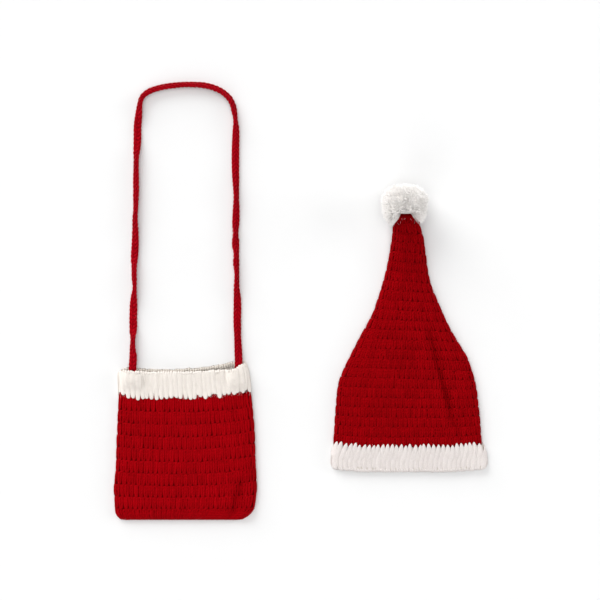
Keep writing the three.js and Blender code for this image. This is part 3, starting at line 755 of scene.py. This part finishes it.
# %% Hairs
def hairs(tube, chance, count, levels, length, thickness, side, base, stand, way=(90, 90)):
    """Thin arched tubes: each adds up steps along a bending heading, and out rises and falls.

    A hair lies `base` outside the core and stands up to `stand` higher. `way` is a heading and how
    far it may differ, in degrees: 90 is straight up the cloth.
    """
    turn = chance.uniform(side, side + 1, count)
    level = chance.uniform(*levels, count)
    angle = np.radians(way[0] + way[1] * chance.uniform(-1, 1, count))
    reach = chance.uniform(0.4, 1, count) * length
    rise = chance.uniform(0.3, 1.2, count) * stand
    bend = chance.normal(0, 0.8, count)
    t = np.linspace(0, 1, 5)
    heading = angle[:, None] + bend[:, None] * (t - 0.5)
    step = reach[:, None] / (len(t) - 1)
    width = tube.around(tube.height(np.full(count, 0.5), level, False))[0]
    across = np.cumsum(step * np.cos(heading), 1) / width[:, None]
    up = np.cumsum(step * np.sin(heading), 1)
    out = base + rise[:, None] * np.sin(np.pi * t)
    centres, outs = tube.place(turn[:, None] + across, level[:, None] + up, out)
    thin = thickness * (1 - 0.6 * np.abs(2 * t - 1)) * np.ones((count, 1))
    return tubes(centres, outs, thin, thin, 3, chance.uniform(0.3, 1, count))


# %% [markdown]
# ## The pouch
#
# Ten rows of tall red stitches are worked upwards from a closed bottom edge, and a thick, brushed
# white yarn finishes the mouth. Its nap hides the rows, so the band is made of long soft strands
# side by side, whose rounded ends give the band its toothed edge. A second row, sunk between
# them, closes the gaps, and the last red row runs on behind both.


# %% Red pieces
def red_cloth(tube, name, rows, levels, hair, finish):
    """A garment's red pieces: its core, the stitches of front and back, and the front's hairs."""
    # The core wears the red with painted shade, for the shade in the chinks between strands.
    cloth = piece(f"{name}_cloth", [core(tube, levels)], red_painted_shade)
    parts = stitches(tube, rows, chance, FRONT)
    front = piece(f"{name}_front_stitches", parts, finish)
    parts = stitches(tube, rows, chance, BACK, rings=5, sides=5)
    back = piece(f"{name}_back_stitches", parts, finish)
    fuzz = piece(f"{name}_hairs", [hairs(tube, chance, *hair)], red_hair)
    return cloth, front, back, fuzz


# %% Pouch's stitches
RIM_WIDTH = 2.7  # a rim's loops lie this close
BAND_START = POUCH_RED + 2  # the white strands' ends
BAND_PITCH = BAND_HEIGHT - 3.2
BEHIND_BAND = 6.5  # how far the last red row runs on behind the white strands
SLIT = 3.5  # length of the slits between two white strands' ends

chance = np.random.default_rng(7)
pouch_rows = [
    row_of(pouch, k * POUCH_PITCH, POUCH_PITCH, phase=0.37 * k) for k in range(POUCH_ROWS)
]
pouch_rows[-1]["above"] = BEHIND_BAND
brushed = {"kinds": ("tongue",), "flatness": BRUSHED, "mess": 2}
band_row = row_of(pouch, BAND_START, BAND_PITCH, **brushed)
band_share = np.minimum(band_row["turn"], 2 - band_row["turn"])
drop = read(POUCH_TEETH, "drop", band_share, "across")
band_row["below"] = drop * STITCH_HEIGHT / BAND_PITCH
filling_row = row_of(pouch, BAND_START + SLIT, BAND_PITCH - SLIT, phase=0.5, sunk=0.4, **brushed)
mouth = BAND_START + BAND_PITCH
rim_row = row_of(pouch, mouth, STITCH_HEIGHT, kinds=("rim loop",), width=RIM_WIDTH)
pouch_levels = np.concatenate([[0, 0.4, 1.2, 2.4, 4], np.linspace(6.5, POUCH_RED + 7.5, 32)])
# count, levels, length, thickness, side, base and stand
pouch_hair = (900, (4, POUCH_RED - 8), 4.5, 0.06, FRONT, 1.9, 0.4)
pouch_core, pouch_front, pouch_back, pouch_fuzz = red_cloth(
    pouch, "pouch", pouch_rows, pouch_levels, pouch_hair, pouch_yarn
)
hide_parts("bag_front", "bag_back")

# %% [markdown]
# ## The pouch's closed edge
#
# Front and back are closed along the bottom with a row of slip stitches. They lie like a soft cord
# along the fold and round both lower corners, so the cord gives the outline there.

# %% Bottom cord
CORD_RADIUS = 1.9
CORD_TOP = 17.0  # how far up each side the cord runs
CORD_STEP = 2.9
CORD_POINTS = 400
LOOP_RADIUS = 0.9  # of a loop's middle line


def bottom_line():
    """The fold's line, a cord's radius inside: down the left side, along, up the right."""
    h = CORD_TOP * (1 - np.linspace(0, 1, 40)) ** 1.5
    left = np.stack([read(POUCH_SIDES, "left", h), h], -1)
    right = np.stack([read(POUCH_SIDES, "right", h), h], -1)[::-1]
    line = np.concatenate([left, right])
    ahead = unit(np.gradient(line, axis=0))
    line = line + CORD_RADIUS * np.stack([-ahead[:, 1], ahead[:, 0]], -1)
    run = np.concatenate([[0], np.cumsum(np.linalg.norm(np.diff(line, axis=0), axis=1))])
    even = np.linspace(0, run[-1], CORD_POINTS)
    return np.stack([np.interp(even, run, side) for side in line.T], -1), run[-1]


def bottom_cord():
    """Slanted loops round a line: angle round it and run along it both grow with t."""
    line, length = bottom_line()
    ahead = unit(np.gradient(line, axis=0))
    count = int(length / CORD_STEP)
    t = np.linspace(0, 1, 6)
    place = (np.arange(count)[:, None] + 1.6 * t - 0.3) / count
    at = np.clip(place * (len(line) - 1), 0, len(line) - 1)
    steps = np.arange(len(line))
    x, y, ahead_x, ahead_y = (np.interp(at, steps, v) for v in (*line.T, *ahead.T))
    parts = []
    for start in (0.5, 1.5):
        angle = np.pi * (start - 0.1 + 1.2 * t) + chance.normal(0, 0.08, (count, 1))
        sideways, upward = LOOP_RADIUS * np.cos(angle), LOOP_RADIUS * np.sin(angle)
        centres = np.stack([pouch.x + x + sideways * ahead_y, pouch.y + y - sideways * ahead_x,
                            FOLD_HEIGHT + upward], -1)
        outs = np.stack([np.cos(angle) * ahead_y, -np.cos(angle) * ahead_x, np.sin(angle)], -1)
        wide = (0.8 + 0.5 * np.sin(np.pi * t)) * np.ones((count, 1))
        parts.append(tubes(centres, outs, wide, 0.85 * wide, shade=chance.uniform(0.3, 1, count)))
    return parts


pouch_hem = piece("pouch_bottom_cord", bottom_cord(), pouch_yarn)

# %% Pouch's band
band_top = POUCH_RED + BAND_HEIGHT
band_levels = np.linspace(POUCH_RED + 8, band_top - 1.5, 16)
# The band's core wears the white with painted shade, so the slits between strands look shaded.
band_core = piece("pouch_band_cloth", [core(pouch, band_levels, out=1.2)], white_painted_shade)
front_rim = stitches(pouch, [rim_row], chance, FRONT, rings=9)
band_parts = stitches(pouch, [filling_row, band_row], chance, rings=13, sides=8) + front_rim
band_stitches = piece("pouch_band_stitches", band_parts, white_yarn)
# The back rim wears the white with painted shade, for the shade inside the mouth.
back_rim_parts = stitches(pouch, [rim_row], chance, BACK, rings=9)
back_rim = piece("pouch_back_rim", back_rim_parts, white_painted_shade)
band_hairs = [  # count, levels, length, thickness, side, base, stand and way
    (1300, (POUCH_RED + 1, band_top - 4), 6, 0.05, FRONT, 2.15, 0.3, (90, 40)),
    (300, (POUCH_RED + 3, POUCH_RED + 8), 3.5, 0.06, FRONT, 2.2, 0.2, (-90, 25)),
    (160, (band_top - 2.5, band_top - 1), 4, 0.08, FRONT, 1.5, 0.3, (0, 25)),
    (300, (POUCH_RED, band_top - 4), 5, 0.08, BACK, 1.7, 0.4, (90, 50)),
    (400, (band_top - 9, band_top - 3), 5, 0.09, BACK, -1.6, -0.4, (90, 60)),
]
band_hairs = [hairs(pouch, chance, *hair) for hair in band_hairs]
band_fuzz = piece("pouch_band_hairs", band_hairs, white_hair)
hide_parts("bag_band_front", "bag_band_back")

# %% [markdown]
# ## The hat
#
# The brim is the thick white yarn too, worked upwards. Its lower strands lie side by side like the
# band's, and pointed ones start between them and reach up over the first red row. Twenty-four
# shorter red rows follow. Where the hat narrows, each row has fewer stitches than the one below
# it, as the maker leaves some out.

# %% Hat's stitches
BRIM_START = 1.4
BRIM_FILLING = 20.5  # length of the brim's lower strands
BRIM_JOINT = 11  # its upper strands start here

hat_rows = [
    row_of(hat, BRIM_HEIGHT + k * HAT_PITCH, HAT_PITCH, phase=0.37 * k, swell=1.07)
    for k in range(HAT_ROWS)
]
leaves = {"kinds": ("leaf",), "flatness": BRUSHED}
upper_brim = BRIM_HEIGHT - BRIM_JOINT
brim_rows = [
    row_of(hat, BRIM_START - 0.7, BRIM_FILLING, phase=0.9, lean=0.5, sunk=0.2, **leaves),
    row_of(hat, BRIM_JOINT, upper_brim, phase=0.4, above=2, lean=2, mess=2, **leaves),
    row_of(hat, BRIM_START, -STITCH_HEIGHT, phase=0.5, kinds=("rim loop",), width=RIM_WIDTH),
]
hat_levels = np.concatenate([np.linspace(BRIM_HEIGHT - 1, 275, 44), [277, 278.6, 279.4, 280]])
hat_hair = (1000, (34, 276), 4.5, 0.06, FRONT, 1.9, 0.4)
hat_core, hat_front, hat_back, hat_fuzz = red_cloth(
    hat, "hat", hat_rows, hat_levels, hat_hair, hat_yarn
)
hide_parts("hat_front", "hat_back")

# %% Hat's brim
brim_levels = np.linspace(1.6, BRIM_HEIGHT - 1.4, 16)
# The brim's core wears the white with painted shade, so the slits between strands look shaded.
brim_core = piece("brim_cloth", [core(hat, brim_levels, out=1.4)], white_painted_shade)
brim_parts = stitches(hat, brim_rows, chance, rings=11, sides=8)
brim_stitches = piece("brim_stitches", brim_parts, brim_yarn)
brim_hairs = [  # count, levels, length, thickness, side, base, stand and way
    (1300, (0.5, BRIM_HEIGHT - 4), 6, 0.05, FRONT, 2.15, 0.3, (85, 35)),
    (160, (0.8, 2.5), 4, 0.08, FRONT, 1.5, 0.3, (0, 25)),
    (300, (0.5, BRIM_HEIGHT), 5, 0.08, BACK, 1.7, 0.4, (90, 60)),
]
brim_hairs = [hairs(hat, chance, *hair) for hair in brim_hairs]
brim_fuzz = piece("brim_hairs", brim_hairs, white_hair)
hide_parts("hat_band_front", "hat_band_back")

# %% [markdown]
# ## The neck strap
#
# The strap is one narrow crocheted band. It isn't stretched, so it rolls about its own line as it
# lies, and shows now its face and now its edge. The table gives its middle line and how far it is
# rolled there, in degrees. At each place the band is turned by that roll and then let down until
# it touches what it rests on.

# %% Strap's line
STRAP_LINE = table(
    "x y roll",
    (-183.8, -86, 0), (-183.9, -74, 0), (-183.2, -62, 12), (-183.8, -52, 52),
    (-183.5, -42, 66), (-183.3, -31, 14), (-183.3, -20, -12), (-183, -6, 8),
    (-182.4, 5, 48), (-181.6, 14, 80), (-182, 26, 60), (-182.1, 38, 58),
    (-181.8, 49, 18), (-181, 64, 24), (-180.8, 78, 44), (-181.1, 90, 58),
    (-180.4, 101, 66), (-180, 118, 50), (-180, 138, 52), (-179.8, 156, 60),
    (-178.8, 174, 10), (-178.6, 192, 0), (-176.9, 206, 30), (-175.6, 217, 62),
    (-172.6, 224.8, 58), (-164, 230.8, 52), (-151.4, 234.6, 50), (-137, 236.8, 52),
    (-121, 237.6, 56), (-105, 236.6, 50), (-92, 233, 48), (-82, 227, 52),
    (-75.4, 219, 56), (-72.6, 210, 58), (-70.8, 198, 78), (-70.4, 186, 38),
    (-70.8, 170, 22), (-71, 152, 18), (-70.6, 132, 40), (-70, 114, 64),
    (-70.2, 98, 36), (-70.6, 86, 28), (-70.8, 74, 62), (-70.8, 62, 24),
    (-70, 52, 66), (-70.2, 42, 50), (-69.4, 30, 74), (-69.6, 14, 58),
    (-68.8, -2, 16), (-69, -20, 10), (-68.6, -38, 34), (-68, -52, 20),
    (-67.4, -64, 0), (-67.4, -72, 0), (-67.6, -82, 0),
)
STRAP_HALF = 3.5  # half the core's width, without the yarn on it
STRAP_THIN = 0.85  # half its thickness
STRAP_STRAND = 0.85
STRAP_STITCH = 4.6
STRAP_RINGS = 330
TUCK_DEPTH = 12

spacing = np.hypot(np.diff(STRAP_LINE["x"]), np.diff(STRAP_LINE["y"]))
STRAP_LINE["run"] = np.concatenate([[0], np.cumsum(spacing)])
strap_length = STRAP_LINE["run"][-1]
print("strap", round(strap_length), "mm long")


def strap_place(run, across, out):
    """Points and outward directions on the strap: its section turned by roll and let down.

    across runs over its width, and out is off its middle plane. The lowest part of the turned
    section, half width * |sin| + half thickness * |cos|, is what touches the rest.
    """
    run, across, out = np.broadcast_arrays(run, across, out)
    x, y = (read(STRAP_LINE, column, run, "run") for column in ("x", "y"))
    roll = np.radians(read(STRAP_LINE, "roll", run, "run"))
    ahead, behind = run + 1.0, run - 1.0
    along_x = read(STRAP_LINE, "x", ahead, "run") - read(STRAP_LINE, "x", behind, "run")
    along_y = read(STRAP_LINE, "y", ahead, "run") - read(STRAP_LINE, "y", behind, "run")
    size = np.hypot(along_x, along_y)
    side_x, side_y = along_y / size, -along_x / size
    from_end = np.minimum(run, strap_length - run)
    rest = FLOOR_GAP * (1 - smoothstep(from_end, TUCK_DEPTH + 5, TUCK_DEPTH + 20))
    half, thin = STRAP_HALF + STRAP_STRAND * 0.6, STRAP_THIN + STRAP_STRAND * 1.2
    low = half * np.abs(np.sin(roll)) + thin * np.abs(np.cos(roll))
    sideways = across * np.cos(roll) - out * np.sin(roll)
    upward = across * np.sin(roll) + out * np.cos(roll)
    points = np.stack([x + sideways * side_x, y + sideways * side_y, rest + low + upward], -1)
    tilt_side, tilt_up = -np.sin(roll), np.cos(roll)
    facing = np.stack([tilt_side * side_x, tilt_side * side_y, tilt_up], -1)
    return points, facing


# %% Strap's yarn
def strap_core():
    """The band itself: a flat ellipse |across|^2 + |out|^2 = 1 carried along the line."""
    run = np.linspace(1, strap_length - 1, STRAP_RINGS)
    centres, facing = strap_place(run, 0.0, 0.0)
    wide = np.full((1, len(run)), STRAP_HALF)
    return tubes(centres[None], facing[None], wide, wide * STRAP_THIN / STRAP_HALF, 12)


def strap_stitches(chance):
    """Slanted strands in pairs on both faces, and a loop over each edge, per stitch."""
    count = int(strap_length / STRAP_STITCH)
    start = (np.arange(count) + 0.1) * (strap_length - 3) / count
    t = np.linspace(0, 1, 5)
    parts = []
    for face in (1, -1):
        for hand in (1, -1):
            shift = chance.normal(0, 0.12, (count, 2))
            across = hand * (0.35 + 3.1 * t + shift[:, :1])
            run = start[:, None] + STRAP_STITCH * (0.1 + 1.15 * t) + shift[:, 1:]
            out = face * (STRAP_THIN + 0.1 + 0.75 * np.sin(np.pi * (0.15 + 0.75 * t)))
            centres, facing = strap_place(run, across, out)
            wide = STRAP_STRAND * (0.75 + 0.3 * np.sin(np.pi * t)) * np.ones((count, 1))
            tones = chance.uniform(0, 1, count)
            parts.append(tubes(centres, face * facing, wide, 0.8 * wide, 5, tones))
    for hand in (1, -1):
        across = hand * (STRAP_HALF - 0.3 + 0.5 * np.sin(np.pi * t)) * np.ones((count, 1))
        run = start[:, None] + STRAP_STITCH * (1.25 * t - 0.1)
        out = 0.7 * np.cos(np.pi * t)
        centres, facing = strap_place(run, across, out)
        wide = STRAP_STRAND * (0.7 + 0.25 * np.sin(np.pi * t)) * np.ones((count, 1))
        parts.append(tubes(centres, facing, wide, wide, 5, chance.uniform(0, 1, count)))
    return parts


strap_cloth = piece("strap_cloth", [strap_core()], strap_yarn)
strap_strands = piece("strap_stitches", strap_stitches(chance), strap_yarn)
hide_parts("strap_left", "strap_top", "strap_right")

# %% [markdown]
# ## The pompom
#
# A pompom is yarn wound many times, tied in the middle, cut and teased out. Its ends stand in small
# tufts, and the finest hairs blur its outline. A knobbly closed ball fills the middle, thicker yarn
# ends stand on it in tufts, and thin hairs stand between and over them. The hat's tip lies in a
# notch between the ends, which keep beside it.

# %% Pompom
POMPOM_CENTRE = np.array([113.6, 104.0, 23.2])
POMPOM_REACH = np.array([26.4, 23.6, 22.4])
POMPOM_SQUARE = 2.8
POMPOM_CORE = 0.78  # radius of the filled middle, as a share of the reach
TUFTS = 620
HOLLOW = 4.5  # how far the middle stays from the hat's tip, so that ends stand round the tip
LOBES, KNOBS = 0.035, 0.035  # heights of the reach's lobes and of the middle's knobs, as shares
BALL_ROWS, BALL_COLUMNS = 70, 130
END_BOW = 0.6  # spread of how far a yarn end bows to a side
END_FLOOR = 1.0  # no yarn end lies lower
ROOT_SCATTER = 20  # millimetres off the line to the centre, per unit of a tip's scatter


def even_directions(count):
    """Directions spread evenly: equal steps in z, and the golden angle round it."""
    z = 1 - 2 * (np.arange(count) + 0.5) / count
    angle = np.arange(count) * np.pi * (3 - 5**0.5)
    flat = np.sqrt(1 - z * z)
    return np.stack([flat * np.cos(angle), flat * np.sin(angle), z], -1)


def pompom_reach(direction):
    """How far the pompom reaches: a ball pressed towards a box, with a few low lobes.

    (sum |d/size|^p)^(-1/p) * (1 + lobes * sin(5a + 3z) * cos(4z)), a being the angle about z.
    """
    share = np.abs(direction / POMPOM_REACH) ** POMPOM_SQUARE
    about = np.arctan2(direction[..., 1:2], direction[..., :1])
    height = direction[..., 2:]
    lobes = 1 + LOBES * np.sin(5 * about + 3 * height) * np.cos(4 * height)
    return share.sum(-1, keepdims=True) ** (-1 / POMPOM_SQUARE) * lobes


def over_hat(points, clear):
    """Whether points lie above the hat's tip, seen from above."""
    h = points[..., 1] - hat.y
    left = hat.x + read(HAT_SIDES, "left", h) - clear
    right = hat.x + read(HAT_SIDES, "right", h) + clear
    inside = (points[..., 0] > left) & (points[..., 0] < right)
    return inside & (h < HAT_TIP + clear)


def yarn_ends(tips, roots, chance, thickness, rings, sides):
    """Tapered tubes from root to tip: the straight line + bow * 4t(1 - t) to a random side."""
    t = np.linspace(0, 1, rings)[:, None]
    bow = chance.normal(0, END_BOW, (len(tips), 1, 3))
    centres = roots[:, None] * (1 - t) + tips[:, None] * t + bow * 4 * t * (1 - t)
    centres[..., 2] = np.maximum(centres[..., 2], END_FLOOR)
    outs = np.cross(tips - roots, chance.normal(0, 1, (len(tips), 3)))[:, None]
    outs = np.broadcast_to(unit(outs), centres.shape)
    wide = np.broadcast_to(thickness * (1 - 0.65 * t[:, 0] ** 3), centres.shape[:2])
    return tubes(centres, outs, wide, wide, sides, chance.uniform(0.1, 1, len(tips)))


def beside_hat(points, clear=0.3):
    """Points drawn in towards the pompom's centre until they don't lie above the hat's tip."""
    shares = np.linspace(1, 0.1, 46).reshape(-1, *[1] * points.ndim)
    tried = POMPOM_CENTRE + (points - POMPOM_CENTRE)[None] * shares
    free = ~over_hat(tried, clear)
    first = np.argmax(free, axis=0)
    return np.take_along_axis(tried, first[None, ..., None], 0)[0]


def pompom_parts(each, thickness, inner, outer, spread, rings, sides, chance, clear=0.3):
    """Ends of yarn or hairs in tufts: each goes from `inner` to `outer` shares of the reach.

    A root lies below its tip, a little off the line to the centre, and both keep beside the hat.
    """
    owner = np.repeat(np.arange(TUFTS), each)
    scatter = chance.normal(0, spread, (2, len(owner), 3))
    tip_way = unit(TUFT_WAYS[owner] + TUFT_LEANS[owner] + scatter[0])
    reach = TUFT_LENGTHS[owner] * chance.uniform(*outer, (len(owner), 1))
    size = pompom_reach(tip_way)
    tips = beside_hat(POMPOM_CENTRE + tip_way * size * reach, clear)
    root_way = unit(tips - POMPOM_CENTRE + ROOT_SCATTER * scatter[1])
    roots = beside_hat(tips - root_way * size * (reach - inner))
    return [yarn_ends(tips, roots, chance, thickness, rings, sides)]


def pompom_middle():
    """A closed ball on a grid of angles, with low knobs: reach * (core + knobs)."""
    down = np.linspace(0.03, np.pi - 0.03, BALL_ROWS)[:, None]
    about = np.arange(BALL_COLUMNS) * 2 * np.pi / BALL_COLUMNS
    x, y = np.sin(down) * np.cos(about), np.sin(down) * np.sin(about)
    way = np.stack(np.broadcast_arrays(x, y, np.cos(down)), -1)
    knobs = np.sin(23 * about + 5 * np.sin(7 * down)) * np.sin(27 * down + 2 * np.sin(3 * about))
    knobs = KNOBS * knobs * np.sin(down)
    points = POMPOM_CENTRE + way * pompom_reach(way) * (POMPOM_CORE + knobs[..., None])
    points = beside_hat(points, HOLLOW).reshape(-1, 3)
    index = np.arange(len(points)).reshape(BALL_ROWS, BALL_COLUMNS)
    right = np.roll(index, -1, 1)
    quads = np.stack([index[:-1], index[1:], right[1:], right[:-1]], -1).reshape(-1, 4)
    caps = np.stack([index[0], index[-1, ::-1]])
    uv = np.stack([points[quads, 0], points[quads, 1] / 6], -1).reshape(-1, 2)
    return {"points": points, "faces": [quads, caps], "uv": [uv, np.zeros((caps.size, 2))],
            "shade": np.full(len(points), 0.6)}


chance = np.random.default_rng(41)
TUFT_WAYS = even_directions(TUFTS)
TUFT_LENGTHS = chance.uniform(0.93, 1.0, (TUFTS, 1))
TUFT_LEANS = chance.normal(0, 0.08, (TUFTS, 3))
piece("pompom_middle", [pompom_middle()], pompom_yarn)
yarn_tufts = pompom_parts(8, 0.55, 0.68, (0.88, 1.0), 0.08, 4, 4, chance)
pompom = piece("pompom_yarn_ends", yarn_tufts, pompom_yarn)
hair_tufts = pompom_parts(6, 0.13, 0.76, (0.94, 1.06), 0.1, 4, 3, chance, clear=-0.7)
tip_hair = (12, (HAT_TIP - 8, HAT_TIP - 4), 4, 0.11, FRONT, 2.1, 0.8, (-90, 60))
hair_tufts += [hairs(hat, chance, *tip_hair)]
piece("pompom_hairs", hair_tufts, pompom_hair)
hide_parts("pompom")

# %% [markdown]

# %% [markdown]
# ## Light and table
#
# A big soft light stands low at the upper left, so shadows fall softly to the right and down. A
# weaker one at the lower left fills them, one overhead keeps the stitches open, and a smaller one
# low at the right lifts that side. The rest comes from a white sky. The table is plain and pale.

# %% Light and table
SUNS = table(
    "azimuth elevation strength softness",  # degrees, degrees, W/m2 and degrees it spans
    (126, 18, 3.3, 50),
    (245, 20, 1.0, 50),
    (0, 90, 1.25, 60),
    (10, 12, 1.35, 36),
)
SKY_STRENGTH = 0.325

scene = bpy.context.scene
scene.view_settings.view_transform = "Standard"
for number, (azimuth, elevation, strength, softness) in enumerate(zip(*SUNS.values())):
    sun_data = bpy.data.lights.new(f"sun {number}", "SUN")
    sun_data.energy = strength
    sun_data.angle = np.radians(softness)
    sun = bpy.data.objects.new(f"sun {number}", sun_data)
    sun.rotation_euler = np.radians((0, 90 - elevation, azimuth))
    scene.collection.objects.link(sun)

world = bpy.data.worlds.new("studio")
world.use_nodes = True
world.node_tree.nodes["Background"].inputs["Color"].default_value = (1, 1, 1, 1)
world.node_tree.nodes["Background"].inputs["Strength"].default_value = SKY_STRENGTH
scene.world = world

TABLE_HALF = 20.0
PAPER_SCALE = 20.0
sides = ((-1, -1), (1, -1), (1, 1), (-1, 1))
corners = [(x * TABLE_HALF, y * TABLE_HALF, 0) for x, y in sides]
table_mesh = bpy.data.meshes.new("table")
table_mesh.from_pydata(corners, [], [(0, 1, 2, 3)])
table_top = bpy.data.objects.new("table", table_mesh)
scene.collection.objects.link(table_top)
paper = Finish("paper", Roughness=1.0, Specular_IOR_Level=0.0)
pale, paler = (0.8, 0.8, 0.8, 1), (0.82, 0.82, 0.82, 1)
paper.feed(paper.shader, "Base Color", paper.mix(paper.noise(PAPER_SCALE), pale, paler))
table_mesh.materials.append(paper.material)

# %% Triangles in all
print("triangles in all", sum(triangle_count.values()))
